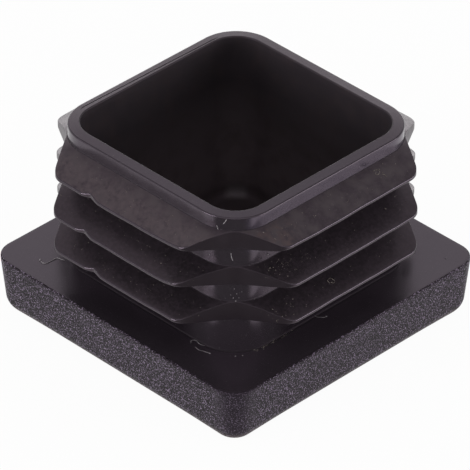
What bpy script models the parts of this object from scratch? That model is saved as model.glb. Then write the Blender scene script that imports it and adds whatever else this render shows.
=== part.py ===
"""Ribbed end cap for square tube, moulded as one piece of black polyethylene.

A square head covers the end of the tube. A hollow square core stands on it and goes into the
bore, and rows of thin wedge-shaped fins round the core bend against the bore and hold the cap.
The fins are parted at the corners by shallow V-shaped notches, so that each blade can fold.

The origin is the centre of the head's outer face. +Z points from the head to the open rim.
Lengths are in metres.
"""
import math

import bmesh
import bpy
from mathutils import Matrix

MM = 0.001

# The tube that the cap is made for
TUBE_SIDE = 30.0 * MM           # across the outside of the tube, and so across the head
TUBE_WALL = 1.5 * MM

# Head
HEAD_THICKNESS = 5.66 * MM
HEAD_CORNER_RADIUS = 2.15 * MM
HEAD_DRAFT_DEG = 5.9            # the sides lean in towards the outer face
SEAT_EDGE_RADIUS = 0.15 * MM    # where the sides meet the seat face
OUTER_EDGE_RADIUS = 1.4 * MM    # round the outer face
OUTER_EDGE_LIMIT = 0.9          # of the drafted corner's radius, the most that rounding may take

# Core
CORE_GAP = 2.2 * MM             # from the core to the bore on each side, the room for the fins
CORE_HEIGHT = 13.82 * MM        # above the seat face
CORE_CORNER_RADIUS = 3.9 * MM
CORE_WALL = 1.1 * MM
CORE_FOOT_RADIUS = 0.15 * MM    # fillet between the core and the seat face
RIM_EDGE = 0.12 * MM            # broken edges of the rim, outside and inside

# Cavity
FLOOR_THICKNESS = 2.78 * MM     # plastic left under the cavity
FLOOR_FILLET = 0.9 * MM

# Fins, counted from the rim down
FIN_COUNT = 3
FIN_PITCH = 3.59 * MM
RIM_BAND = 1.35 * MM            # plain wall between the rim and the root of the first fin
FIN_ROOT_THICKNESS = 1.79 * MM
FIN_EDGE_THICKNESS = 0.2 * MM
FIN_UNDERSIDE_RISE = 0.2 * MM   # the edge's underside lies this far above the root's
LEAD_FIN_SQUEEZE = 0.45 * MM    # how far the first fin's edge reaches past the bore's wall
FIN_SQUEEZE = 0.96 * MM         # the same for the wider fins after it
FIN_ROOT_OVERLAP = 0.4 * MM     # how deep a fin's blank runs into the core, so that they fuse

# Notches that part the fins at the corners
NOTCH_BITE = 0.02 * MM          # the notch's point lies this far inside the core's corner
NOTCH_FLARE_DEG = 15.0          # each flank turns out from the corner's own tangent
BLADE_END_RADIUS = 1.35 * MM
BLADE_CLEARANCE = 0.02 * MM     # the blade outline passes this far outside the fin's edge

# Fineness of the rounded forms, in flat steps
CORNER_STEPS = 12
EDGE_STEPS = 3
OUTER_EDGE_STEPS = 8
FILLET_STEPS = 5

# Limits used to tell points, edges and creases apart
WELD_DISTANCE = 0.001 * MM      # points closer than this are one point
LEVEL_TOLERANCE = 0.012 * MM    # points this close to a plane lie in it
FOOT_CORNER_DEG = 45.0          # an inner corner sharper than this is the core's foot
CREASE_DEG = 25.0               # edges sharper than this stay crisp in the shading

# Colour of the plastic, linear red, green, blue and alpha
BLACK = (0.016, 0.014, 0.015, 1.0)
SATIN_ROUGHNESS = 0.35

# Dependent sizes
BORE_SIDE = TUBE_SIDE - 2 * TUBE_WALL
CORE_SIDE = BORE_SIDE - 2 * CORE_GAP
CAVITY_SIDE = CORE_SIDE - 2 * CORE_WALL
CAVITY_CORNER_RADIUS = max(CORE_CORNER_RADIUS - CORE_WALL, FLOOR_FILLET)
SEAT_Z = HEAD_THICKNESS
RIM_Z = SEAT_Z + CORE_HEIGHT
CORE_ROOT_Z = SEAT_Z / 2        # the core's block starts inside the head, so that they fuse
CORE_CORNER_REACH = (CORE_SIDE / 2 - CORE_CORNER_RADIUS) * math.sqrt(2) + CORE_CORNER_RADIUS

COLLECTION_NAME = "tube_end_cap"
CUTTER_COLLECTION_NAME = "tube_end_cap_cutters"


def clear_scene():
    """Remove whatever the file holds and make the two collections."""
    for thing in list(bpy.data.objects):
        bpy.data.objects.remove(thing, do_unlink=True)
    for name in (COLLECTION_NAME, CUTTER_COLLECTION_NAME):
        bpy.context.scene.collection.children.link(bpy.data.collections.new(name))


def add_object(name, mesh, collection_name=CUTTER_COLLECTION_NAME):
    """Put a mesh in the scene; what lands among the cutters is drawn as wire and not rendered."""
    thing = bpy.data.objects.new(name, mesh)
    bpy.data.collections[collection_name].objects.link(thing)
    if collection_name == CUTTER_COLLECTION_NAME:
        thing.hide_render = True
        thing.display_type = "WIRE"
    return thing


def object_from_bmesh(name, bm):
    """Turn a bmesh into an object of its own."""
    bmesh.ops.recalc_face_normals(bm, faces=bm.faces)
    mesh = bpy.data.meshes.new(name)
    bm.to_mesh(mesh)
    bm.free()
    return add_object(name, mesh)


def rounded_block(side, corner_radius, z_low, z_high):
    """A square block with its four upright edges rounded, as a bmesh."""
    bm = bmesh.new()
    place = Matrix.Translation((0, 0, (z_low + z_high) / 2))
    stretch = Matrix.Diagonal((side, side, z_high - z_low, 1))
    bmesh.ops.create_cube(bm, size=1.0, matrix=place @ stretch)
    upright = [edge for edge in bm.edges if edge.verts[0].co.xy == edge.verts[1].co.xy]
    bmesh.ops.bevel(bm, geom=upright, offset=corner_radius, offset_type="OFFSET", affect="EDGES",
                    segments=CORNER_STEPS, profile=0.5)
    return bm


def cap_face(bm, up):
    """The flat end face of a block, the top one where up is true."""
    def height(face):
        return face.calc_center_median().z
    return max(bm.faces, key=height) if up else min(bm.faces, key=height)


def taper_cap(bm, up, inward, along):
    """Move an end face inward on all sides and along its own normal, leaving a sloped band."""
    bmesh.ops.inset_region(bm, faces=[cap_face(bm, up)], thickness=inward, depth=along,
                           use_even_offset=True, use_boundary=True)


def round_cap_edge(bm, up, radius, steps):
    """Round the edge loop of an end face."""
    bmesh.ops.bevel(bm, geom=list(cap_face(bm, up).edges), offset=radius, offset_type="OFFSET",
                    affect="EDGES", segments=steps, profile=0.5)


def combine(name, target, tool, operation):
    """Boolean of two objects as a new object; the target is used up, the tool stays a cutter."""
    modifier = target.modifiers.new("combine", "BOOLEAN")
    modifier.operation = operation
    modifier.solver = "EXACT"
    modifier.object = tool
    depsgraph = bpy.context.evaluated_depsgraph_get()
    mesh = bpy.data.meshes.new_from_object(target.evaluated_get(depsgraph))
    mesh.name = name
    bm = bmesh.new()
    bm.from_mesh(mesh)
    bmesh.ops.remove_doubles(bm, verts=bm.verts, dist=WELD_DISTANCE)
    bmesh.ops.dissolve_degenerate(bm, dist=WELD_DISTANCE, edges=bm.edges)
    bm.to_mesh(mesh)
    bm.free()
    bpy.data.objects.remove(target, do_unlink=True)
    return add_object(name, mesh)


def make_head():
    """The plate outside the tube: drafted sides, rounded corners and a rounded outer edge."""
    straight = 2 * SEAT_EDGE_RADIUS
    draft_height = HEAD_THICKNESS - straight
    draft = draft_height * math.tan(math.radians(HEAD_DRAFT_DEG))
    bm = rounded_block(TUBE_SIDE, HEAD_CORNER_RADIUS, SEAT_Z - straight, SEAT_Z)
    taper_cap(bm, False, draft, draft_height)
    outer_radius = min(OUTER_EDGE_RADIUS, OUTER_EDGE_LIMIT * (HEAD_CORNER_RADIUS - draft))
    round_cap_edge(bm, False, outer_radius, OUTER_EDGE_STEPS)
    round_cap_edge(bm, True, SEAT_EDGE_RADIUS, EDGE_STEPS)
    return object_from_bmesh("head_blank", bm)


def make_core():
    """The solid block of the core, from inside the head to the rim, with its rim edge broken."""
    bm = rounded_block(CORE_SIDE, CORE_CORNER_RADIUS, CORE_ROOT_Z, RIM_Z)
    round_cap_edge(bm, True, RIM_EDGE, EDGE_STEPS)
    return object_from_bmesh("core_blank", bm)


def fillet_core_foot(body):
    """Round the inner corner where the core rises from the seat face."""
    bm = bmesh.new()
    bm.from_mesh(body.data)
    reach = CORE_SIDE / 2 + LEVEL_TOLERANCE
    foot = []
    for edge in bm.edges:
        level = all(abs(vert.co.z - SEAT_Z) < LEVEL_TOLERANCE for vert in edge.verts)
        on_core = all(max(abs(vert.co.x), abs(vert.co.y)) < reach for vert in edge.verts)
        if level and on_core and edge.calc_face_angle(0.0) > math.radians(FOOT_CORNER_DEG):
            foot.append(edge)
    bmesh.ops.bevel(bm, geom=foot, offset=CORE_FOOT_RADIUS, offset_type="OFFSET", affect="EDGES",
                    segments=EDGE_STEPS, profile=0.5)
    bm.to_mesh(body.data)
    bm.free()


def fin_side(number):
    """Across a fin from edge to edge; the first one is smaller and leads the cap in."""
    squeeze = LEAD_FIN_SQUEEZE if number == 0 else FIN_SQUEEZE
    return BORE_SIDE + 2 * squeeze


def fin_root_low(number):
    """Height of the underside of a fin's root, counted down from the rim."""
    return RIM_Z - RIM_BAND - FIN_ROOT_THICKNESS - number * FIN_PITCH


def make_fin_blank(number):
    """A wedge carried right round the core, thick at the root and thin at the edge.

    The thin outer edge is drawn first. Both its faces then run inward to the root: the upper one
    climbs, so that the fin slides into the tube, and the lower one falls a little.
    """
    reach = (fin_side(number) - CORE_SIDE) / 2
    inward = reach + FIN_ROOT_OVERLAP
    lower_slope = FIN_UNDERSIDE_RISE / reach
    upper_slope = (FIN_ROOT_THICKNESS - FIN_EDGE_THICKNESS - FIN_UNDERSIDE_RISE) / reach
    low = fin_root_low(number) + FIN_UNDERSIDE_RISE
    bm = rounded_block(fin_side(number), CORE_CORNER_RADIUS + reach, low, low + FIN_EDGE_THICKNESS)
    taper_cap(bm, True, inward, inward * upper_slope)
    taper_cap(bm, False, inward, inward * lower_slope)
    return object_from_bmesh(f"fin_{number + 1}_blank", bm)


def corner_arc(before, corner, after, radius):
    """Points of the arc that rounds one corner of an outline, tangent to both its legs."""
    to_before = (before - corner) / abs(before - corner)
    to_after = (after - corner) / abs(after - corner)
    half_angle = math.acos((to_before * to_after.conjugate()).real) / 2
    bisector = (to_before + to_after) / abs(to_before + to_after)
    centre = corner + bisector * radius / math.sin(half_angle)
    start = corner + to_before * radius / math.tan(half_angle) - centre
    end = corner + to_after * radius / math.tan(half_angle) - centre
    sweep = math.atan2((end / start).imag, (end / start).real)
    turns = [sweep * step / CORNER_STEPS for step in range(CORNER_STEPS + 1)]
    return [centre + start * complex(math.cos(turn), math.sin(turn)) for turn in turns]


def blade_outline(side):
    """Outline of four blades seen from above, as complex numbers x + iy.

    Each corner of the square is cut back by a wide V. Its point lies on the diagonal, just
    inside the core's corner, and its flanks flare out to the sides, where the ends are round.
    """
    flare = math.tan(math.radians(NOTCH_FLARE_DEG))
    notch_reach = CORE_CORNER_REACH - NOTCH_BITE
    lateral = (side / math.sqrt(2) - notch_reach) / (1 + flare)
    flank_reach = notch_reach + flare * lateral
    points = []
    for quarter in range(4):
        diagonal = complex(1, 1) / math.sqrt(2) * 1j ** quarter
        notch = notch_reach * diagonal
        arriving = (flank_reach - 1j * lateral) * diagonal
        leaving = (flank_reach + 1j * lateral) * diagonal
        along = 1j ** quarter
        points += corner_arc(arriving - 1j * along * lateral, arriving, notch, BLADE_END_RADIUS)
        points.append(notch)
        points += corner_arc(notch, leaving, leaving - along * lateral, BLADE_END_RADIUS)
    return points


def make_blade_plate(number):
    """A plate with the blades' outline, taller than the fin, to trim the fin's blank with."""
    curve = bpy.data.curves.new(f"fin_{number + 1}_outline", "CURVE")
    curve.dimensions = "2D"
    curve.fill_mode = "BOTH"
    curve.extrude = FIN_ROOT_THICKNESS
    points = blade_outline(fin_side(number) + 2 * BLADE_CLEARANCE)
    spline = curve.splines.new("POLY")
    spline.points.add(len(points) - 1)
    for place, point in zip(spline.points, points):
        place.co = (point.real, point.imag, 0, 1)
    spline.use_cyclic_u = True
    outline = add_object(curve.name, curve)
    outline.location.z = fin_root_low(number) + FIN_ROOT_THICKNESS / 2
    depsgraph = bpy.context.evaluated_depsgraph_get()
    mesh = bpy.data.meshes.new_from_object(outline.evaluated_get(depsgraph))
    mesh.transform(outline.matrix_world)
    bm = bmesh.new()
    bm.from_mesh(mesh)
    bmesh.ops.remove_doubles(bm, verts=bm.verts, dist=WELD_DISTANCE)
    bpy.data.objects.remove(outline, do_unlink=True)
    return object_from_bmesh(f"fin_{number + 1}_plate", bm)


def make_cavity_cutter():
    """The hollow of the core: straight sides, a filleted floor and a broken edge at the rim."""
    mouth_flare = 2 * RIM_EDGE
    mouth_z = RIM_Z + RIM_EDGE
    side = CAVITY_SIDE + 2 * mouth_flare
    bm = rounded_block(side, CAVITY_CORNER_RADIUS + mouth_flare, mouth_z, mouth_z + CORE_WALL)
    taper_cap(bm, False, mouth_flare, mouth_flare)
    taper_cap(bm, False, 0.0, RIM_Z - RIM_EDGE - FLOOR_THICKNESS)
    round_cap_edge(bm, False, FLOOR_FILLET, FILLET_STEPS)
    return object_from_bmesh("cavity", bm)


def black_polyethylene():
    """Black moulding plastic with a half-matt skin."""
    material = bpy.data.materials.new("black_polyethylene")
    material.use_nodes = True
    shader = material.node_tree.nodes["Principled BSDF"]
    shader.inputs["Base Color"].default_value = BLACK
    shader.inputs["Roughness"].default_value = SATIN_ROUGHNESS
    shader.inputs["Metallic"].default_value = 0.0
    material.diffuse_color = BLACK
    return material


def make_end_cap():
    """Fuse head, core and fins into one moulding, then hollow it out."""
    body = combine("body", make_head(), make_core(), "UNION")
    fillet_core_foot(body)
    for number in range(FIN_COUNT):
        fin = combine(f"fin_{number + 1}", make_fin_blank(number), make_blade_plate(number), "INTERSECT")
        body = combine("body", body, fin, "UNION")
    moulding = combine("moulding", body, make_cavity_cutter(), "DIFFERENCE")
    cap = add_object("end_cap", moulding.data, COLLECTION_NAME)
    bpy.data.objects.remove(moulding, do_unlink=True)
    cap.data.name = "end_cap"
    cap.data.materials.clear()
    cap.data.materials.append(black_polyethylene())
    cap.data.shade_smooth()
    cap.data.set_sharp_from_angle(angle=math.radians(CREASE_DEG))
    return cap


clear_scene()
make_end_cap()
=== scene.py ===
# %% [markdown]
# # A ribbed end cap for square tube
#
# The real cap is one moulding in black polyethylene. A square head closes the tube, and a
# hollow square core with three rows of thin, wedge-shaped blades goes into the bore. This
# lesson dresses that moulding: it lays one fine surface over the whole cap, gives each zone of
# the surface the skin that its mould left on it, paints some light and shade into a few of
# those skins, adds dust and lint, and lights it in a white studio.
#
# The frame comes first. It holds the solid that the engineering model made, in metres, with
# the cap standing on its head. Everything below is placed in the frame's own coordinates.
# Sides are numbered 0 for +X, 1 for +Y, 2 for -X and 3 for -Y. Corners are 0 right, 1 back,
# 2 left and 3 front, as the camera sees them. Rows of blades count from 0 at the rim down.

# %% Load the frame
import math

import bpy
import numpy as np
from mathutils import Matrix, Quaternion, Vector


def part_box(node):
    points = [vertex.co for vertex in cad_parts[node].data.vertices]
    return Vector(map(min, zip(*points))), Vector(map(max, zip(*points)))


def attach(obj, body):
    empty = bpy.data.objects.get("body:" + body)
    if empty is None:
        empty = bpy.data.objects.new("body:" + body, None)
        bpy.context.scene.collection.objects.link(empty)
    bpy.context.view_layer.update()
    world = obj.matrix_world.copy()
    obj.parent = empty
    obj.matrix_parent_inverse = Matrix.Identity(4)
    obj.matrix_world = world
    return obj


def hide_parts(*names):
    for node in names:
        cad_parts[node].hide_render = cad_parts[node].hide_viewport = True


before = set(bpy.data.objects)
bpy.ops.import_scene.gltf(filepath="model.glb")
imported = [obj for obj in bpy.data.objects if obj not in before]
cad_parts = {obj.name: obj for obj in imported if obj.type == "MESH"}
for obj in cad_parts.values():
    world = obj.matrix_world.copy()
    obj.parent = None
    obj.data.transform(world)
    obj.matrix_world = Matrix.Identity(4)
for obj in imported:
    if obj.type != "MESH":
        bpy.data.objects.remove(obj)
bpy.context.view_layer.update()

MM = 0.001

# %% [markdown]
# ## Sizes
#
# The width and the height are read from the frame, so the surface can't drift from the solid.
# The rest are the cap's own driving sizes, in the names a mould maker would use for them.
# Those of the blades, the rim and the cavity follow where they are first used.

# %% Sizes of the head and the core
LOW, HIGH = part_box("end_cap")
HEAD_HALF = (HIGH.x - LOW.x) / 2
RIM_Z = HIGH.z
SEAT_Z = 5.66 * MM              # upper face of the head, where the tube's sawn end rests
CORE_HALF = 11.3 * MM
CORE_CORNER_RADIUS = 3.9 * MM
print("head", round(2 * HEAD_HALF / MM, 2), "mm wide, cap", round(RIM_Z / MM, 2), "mm high")

# %% [markdown]
# ## One closed surface: a section carried round a square
#
# Head, core, fins and cavity all follow the same rounded square. So the whole cap can be one
# surface with two parameters: where we are round the cap, and where we are along the section
# that a saw would show there. Booleans would give the same form, but with long thin triangles
# that shade badly and a crisp edge everywhere, and a moulding has no perfectly sharp edge.
#
# Each station round the cap has a foot on an inner square and a ray that points outward from
# it. Along a side the rays are parallel. At a corner they fan out from the square's corner.
# The inner square's corner is the centre of the core's rounded corner, so the core's wall
# lies at the same reach along every ray.

# %% Stations round the cap
INNER_HALF = CORE_HALF - CORE_CORNER_RADIUS
CORE_REACH = CORE_CORNER_RADIUS
SIDE_STEPS = 88
CORNER_STEPS = 54               # even, so that one station lies on the diagonal


def stations():
    """Foot, ray, side number and place along the side of every station, anticlockwise.

    One quarter is the side that faces +X and the corner after it. On the side the foot is
    (half, y) and the ray (1, 0). At the corner the foot stays at (half, half) while the ray
    turns as (cos t, sin t). Turning the quarter by 90 degrees three times closes the ring.
    """
    along = np.linspace(-INNER_HALF, INNER_HALF, SIDE_STEPS + 1)
    turn = np.radians(np.linspace(0, 90, CORNER_STEPS + 1))[1:-1]
    foot_y = np.concatenate([along, np.full_like(turn, INNER_HALF)])
    angle = np.concatenate([np.zeros_like(along), turn])
    quarter = np.repeat(np.arange(4), len(angle))
    foot_y, angle = np.tile(foot_y, 4), np.tile(angle, 4)
    spin = quarter * math.pi / 2
    foot = np.stack([INNER_HALF * np.cos(spin) - foot_y * np.sin(spin),
                     INNER_HALF * np.sin(spin) + foot_y * np.cos(spin)], 1)
    ray = np.stack([np.cos(spin + angle), np.sin(spin + angle)], 1)
    return foot, ray, quarter, foot_y, angle


FOOT, RAY, QUARTER, FOOT_Y, ANGLE = stations()
STATIONS = len(ANGLE)
FOLDED_Y = np.abs(FOOT_Y)                               # both halves of a side look alike
FOLDED_ANGLE = np.minimum(ANGLE, math.pi / 2 - ANGLE)   # and so do both halves of a corner
PAST_CORNER = ANGLE > math.pi / 4
SIDE = np.where(PAST_CORNER, QUARTER + 1, QUARTER) % 4
CORNER = np.where(FOOT_Y < 0, QUARTER - 1, QUARTER) % 4     # the nearest one
print(STATIONS, "stations")

# %% [markdown]
# ## How far a ray runs
#
# Every outline of the cap crosses each ray once, so an outline is one number per station: its
# reach. Head, core and cavity are rounded squares. The blades are squares too, cut back at
# each corner by a wide V with rounded shoulders, so that each blade can fold on its own.
# Because everything is mirrored about the middle of a side and about a corner's diagonal, the
# sums are done once, on the half where x is larger than y.

# %% Reach of a rounded square and of a blade
def circle_hit(centre_x, centre_y, radius):
    """Far crossing of each folded ray with a circle: t = -b + sqrt(b*b - c)."""
    start_x, start_y = INNER_HALF - centre_x, FOLDED_Y - centre_y
    b = start_x * np.cos(FOLDED_ANGLE) + start_y * np.sin(FOLDED_ANGLE)
    c = start_x ** 2 + start_y ** 2 - radius ** 2
    return -b + np.sqrt(np.maximum(b * b - c, 0))


def rounded_square_reach(half, radius):
    """Straight side at x = half, unless the ray meets the corner's arc first."""
    straight = (half - INNER_HALF) / np.cos(FOLDED_ANGLE)
    hit_y = FOLDED_Y + straight * np.sin(FOLDED_ANGLE)
    centre = half - radius
    return np.where(hit_y <= centre, straight, circle_hit(centre, centre, radius))


def blade_reach(half, flare, end_radius, notch_diagonal):
    """The nearest of the blade's edge, the notch's flank and the arc that joins them.

    The flank starts on the diagonal at notch_diagonal and turns out by the flare angle. The
    arc touches edge and flank; a ray meets it where the arc's normal lies between theirs.
    """
    edge = (half - INNER_HALF) / np.cos(FOLDED_ANGLE)
    notch = notch_diagonal / math.sqrt(2)
    normal_angle = math.pi / 4 + flare
    normal_x, normal_y = np.cos(normal_angle), np.sin(normal_angle)
    ahead = (notch - INNER_HALF) * normal_x + (notch - FOLDED_Y) * normal_y
    flank = ahead / (np.cos(FOLDED_ANGLE) * normal_x + np.sin(FOLDED_ANGLE) * normal_y)
    centre_x = half - end_radius
    centre_y = notch - (end_radius + (centre_x - notch) * normal_x) / normal_y
    arc = circle_hit(centre_x, centre_y, end_radius)
    arc_x = INNER_HALF + arc * np.cos(FOLDED_ANGLE) - centre_x
    arc_y = FOLDED_Y + arc * np.sin(FOLDED_ANGLE) - centre_y
    bearing = np.arctan2(arc_y, arc_x)
    on_arc = (bearing > 0) & (bearing < normal_angle)
    sharp = np.where((flank > 0) & (flank < edge), flank, edge)
    return np.where(on_arc, np.minimum(arc, sharp), sharp)


print("core's wall lies at a reach of", round(CORE_REACH / MM, 2), "mm on every ray")

# %% [markdown]
# ## Blades as they came out of the mould
#
# Each blade is wider than the bore by its squeeze, so that it bends and grips. The first row
# has the least and leads the cap in. The notch at the front corner is a little tighter than
# the other three. A cutter can't leave a perfectly sharp inner corner, so the notch's point is
# rounded too.

# %% The blades' sizes and notches
BORE_HALF = 13.5 * MM
FIN_PITCH = 3.59 * MM
RIM_BAND = 1.35 * MM            # plain wall above the first row
FIN_ROOT = 1.79 * MM            # thickness at the core
FIN_EDGE = 0.28 * MM            # thickness at the edge
FIN_RISE = 0.2 * MM             # the edge's underside lies above the root's
FIN_SQUEEZE = (0.45 * MM, 0.96 * MM, 0.96 * MM)             # past the bore, by row
NOTCH_DIAGONAL = INNER_HALF * math.sqrt(2) + CORE_REACH
NOTCH_ROUNDING = 0.09 * MM
FLARE_DEG = (15.5, 15.5, 15.5, 13.5)                        # by corner
END_RADIUS = (1.7 * MM, 1.7 * MM, 1.7 * MM, 1.3 * MM)       # by corner


def moulded_reach(row):
    """Reach of one row of blades at every station.

    Near the notch's point the depth d becomes the root of d * d + s * s, where s is the
    rounding and fades out as a bell curve three roundings wide.
    """
    half = BORE_HALF + FIN_SQUEEZE[row]
    reach = np.zeros(STATIONS)
    for corner, (flare, radius) in enumerate(zip(FLARE_DEG, END_RADIUS)):
        outline = blade_reach(half, math.radians(flare), radius, NOTCH_DIAGONAL)
        reach = np.where(CORNER == corner, outline, reach)
    depth = reach - CORE_REACH
    soft = NOTCH_ROUNDING * np.exp(-(depth / (3 * NOTCH_ROUNDING)) ** 2)
    return np.minimum(CORE_REACH + np.sqrt(depth ** 2 + soft ** 2), half - INNER_HALF)


for row in range(3):
    half_width = moulded_reach(row).max() + INNER_HALF
    print("row", row, "is", round(2 * half_width / MM, 2), "mm wide")

# %% [markdown]
# ## Blades that have been used
#
# Polyethylene creeps. The blades have been bent once or twice, and none stands quite as it
# left the mould. In the two upper rows those of side 3 droop but turn up at their front ends,
# and those of side 0 are set upward. All edges wave softly. Each blade of side 3 also has one
# small nick with a steep flank and a long one. A lattice could bend the blades, but here a
# blade's set is simply a tilt in proportion to the reach, and a nick is a bite out of its
# reach, so the section keeps its thickness everywhere.

# %% Set, waves and nicks
SET_PLACE = np.array([-8.0, -4.0, 0.0, 4.0, 6.0, 8.5]) * MM     # along a blade
BLADE_SET = {(0, 0): (0.24, 0.15, 0.17, 0.18, 0.22, 0.22),      # by side and row, in mm
             (0, 1): (0.14, 0.09, 0.05, 0.15, 0.16, 0.16),
             (0, 2): (0.00, -0.04, -0.02, -0.03, -0.03, -0.03),
             (3, 0): (-0.25, -0.26, -0.30, -0.24, -0.10, 0.22),
             (3, 1): (-0.15, -0.19, -0.27, -0.23, -0.13, 0.30),
             (3, 2): (-0.09, -0.09, -0.10, -0.08, -0.06, -0.02)}
WAVE_HEIGHT = 0.02 * MM
WAVES = ((1.0, 5.3, 1.7, 2.1), (0.6, 11.9, 2.9, 0.0))   # share, rate, shift by row and by side
NICKED_SIDE = 3
NICK_DEPTH = 0.31 * MM
NICK_PLACE = (-3.70 * MM, -3.96 * MM, -2.85 * MM)       # along the blade, by row
NICK_STEEP = 0.8 * MM
NICK_LONG = 1.2 * MM
LEAST_BLADE = 0.015 * MM                                # where the blade runs out


def place_along_side():
    """Signed distance of each station's foot from the middle of the blade it belongs to."""
    beyond = INNER_HALF * math.pi / 4
    return np.where(PAST_CORNER, -INNER_HALF - beyond * (math.pi / 2 - ANGLE),
                    FOOT_Y + beyond * ANGLE)


def fin_reach(row):
    """Moulded reach less the nick, whose depth falls off a little faster than straight."""
    away = place_along_side() - NICK_PLACE[row]
    width = np.where(away < 0, NICK_STEEP, NICK_LONG)
    bite = np.clip(1 - np.abs(away) / width, 0, 1)
    nick = np.where(SIDE == NICKED_SIDE, NICK_DEPTH * bite ** 1.3, 0)
    return np.maximum(moulded_reach(row) - nick, CORE_REACH + LEAST_BLADE)


def fin_set(row):
    """How far a full blade's edge stands above or below its moulded place: set and two sines."""
    along = place_along_side()
    turns = along / INNER_HALF
    lean = np.zeros(STATIONS)
    for share, rate, by_row, by_side in WAVES:
        lean += WAVE_HEIGHT * share * np.sin(rate * turns + by_row * row + by_side * SIDE)
    for side in range(4):
        heights = BLADE_SET.get((side, row))
        if heights:
            lean += np.where(SIDE == side, np.interp(along, SET_PLACE, heights), 0) * MM
    return lean


for row in range(3):
    lean = fin_set(row)
    print("row", row, "stands from", round(lean.min() / MM, 2), "to", round(lean.max() / MM, 2),
          "mm off its moulded height")

# %% [markdown]
# ## The section
#
# The section is a list of bends, each with a reach and a height at every station, walked from
# the middle of the outer face, up the head's side, over the fins and the rim, down into the
# cavity and to the middle of its floor. Each bend is rounded by an arc: a rational curve of
# the second degree with the weight cos(turn / 2) is an exact piece of a circle. Where a leg
# is too short for its arc, as on the thin edge of a fin, the arc gives way.

# %% Bends, arcs and strips
SUPPORT = 0.05          # a strip's first and last ring hug the arcs, so flats shade flat
MOST_OF_LEG = 0.45      # an arc takes at most this share of the legs beside it


def strip_shares(cuts):
    """Where the rings inside a strip lie, as shares of its width."""
    inside = np.linspace(0, 1, cuts + 1)[1:-1]
    return np.concatenate([[SUPPORT], inside[1:-1], [1 - SUPPORT]]) if cuts > 3 else inside


class Section:
    """Bends in walking order, each with the skin and the cuts of the strip that follows it."""

    def __init__(self):
        self.bends, self.rounding, self.steps = [], [], []
        self.skins, self.cuts, self.arc_skins = [], [], []

    def bend(self, reach, height, rounding, steps, skin, cuts=1, arc_skin=None):
        """Add a bend whose arc has that many steps; the arc may have a skin of its own."""
        ones = np.ones(STATIONS)
        self.bends.append(np.stack([reach * ones, height * ones]))
        self.rounding.append(rounding)
        self.steps.append(steps)
        self.skins.append(skin)
        self.cuts.append(cuts)
        self.arc_skins.append(arc_skin or skin)

    def arc(self, index, points, unit, length):
        """Points of the arc at a bend: (a * first + b * bend + c * final) / (a + b + c)."""
        room = np.minimum(length[index - 1], length[index]) * MOST_OF_LEG
        leg = np.minimum(self.rounding[index], room)
        first = points[index] - unit[index - 1] * leg
        final = points[index] + unit[index] * leg
        weight = np.sqrt((1 + np.sum(unit[index - 1] * unit[index], axis=0)) / 2)
        places = []
        for t in np.linspace(0, 1, self.steps[index] + 1):
            a, b, c = (1 - t) ** 2, 2 * t * (1 - t) * weight, t * t
            places.append((a * first + b * points[index] + c * final) / (a + b + c))
        return places

    def rings(self):
        """Reach and height of every ring, and the skin of the band that follows it."""
        points = np.array(self.bends)
        legs = np.diff(points, axis=0)
        length = np.maximum(np.linalg.norm(legs, axis=1), 1e-9)
        unit = legs / length[:, None]
        rings, skins = [points[0]], [self.skins[0]]
        last = points[0]
        for index in range(1, len(points)):
            at_end = index == len(points) - 1
            arc = [points[index]] if at_end else self.arc(index, points, unit, length)
            for share in strip_shares(self.cuts[index - 1]):
                rings.append(last + (arc[0] - last) * share)
                skins.append(self.skins[index - 1])
            rings += arc
            skins += [self.arc_skins[index]] * (len(arc) - 1) + [self.skins[index]]
            last = arc[-1]
        return np.array(rings), skins


print("a strip of 5 cuts has rings at", strip_shares(5).round(2))

# %% [markdown]
# ### The blades and the scored line
#
# A blade is four bends: out along its underside, round its thin edge, and back along its
# upper face. The edge is crisp in the notches, where the cutter left it, and rounder along the
# tube's wall. A knife or a wire has scored the rim along side 2. A groove that is missing on
# the other sides would break the grid, so it goes all round but has no depth there and
# next to no width.

# %% Bends of a blade and of the scored line
CREASE_BELOW, CREASE_ABOVE = 0.06 * MM, 0.05 * MM       # roundings where a blade meets the core
CRISP = 0.02 * MM                                       # rounding of the edge in the notches
SOFTER_BELOW, SOFTER_ABOVE = 0.07 * MM, 0.09 * MM       # more of it along the tube's wall
CORE_WALL = 1.1 * MM
RIM_FALL = 0.10 * MM            # the rim's top falls outward by this much
SCORED_SIDE = 2
SCORE_DEPTH = 0.04 * MM
SCORE_HALF_WIDTH = 0.055 * MM
SCORE_ROUNDING = 0.005 * MM
SCORE_HALF_LENGTH = 9.0         # in mm, and it fades out over the last one
SCORE_ALONG = (-10.5, -8.0, 0.0, 8.0, 10.5)         # in mm, the line's places along the side
SCORE_INWARD = (0.62, 0.84, 0.68, 0.55, 0.62)       # in mm, its distance from the outer wall
LEAST_WIDTH = 0.03              # share of the width that stays where nothing is scored


def fin_bends(section, row):
    """Root, thin edge and root again; the lower face rises a little and the upper one falls."""
    full = BORE_HALF + FIN_SQUEEZE[row] - INNER_HALF - CORE_REACH
    root_low = RIM_Z - RIM_BAND - FIN_ROOT - row * FIN_PITCH
    reach = fin_reach(row)
    share = (reach - CORE_REACH) / full
    lean = fin_set(row)
    under = root_low + (FIN_RISE + lean) * share
    over = root_low + FIN_ROOT - (FIN_ROOT - FIN_RISE - FIN_EDGE - lean) * share
    soft = np.clip((share - 0.75) / 0.2, 0, 1)          # from none at 75 to all at 95 percent
    section.bend(CORE_REACH, root_low, CREASE_BELOW, 2, "satin", 3, "crease")
    section.bend(reach, under, CRISP + SOFTER_BELOW * soft, 3, "satin", 1, "edge")
    section.bend(reach, over, CRISP + SOFTER_ABOVE * soft, 4, "satin", 6, "edge")
    section.bend(CORE_REACH, root_low + FIN_ROOT, CREASE_ABOVE, 2, "wall", 5, "crease")


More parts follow.
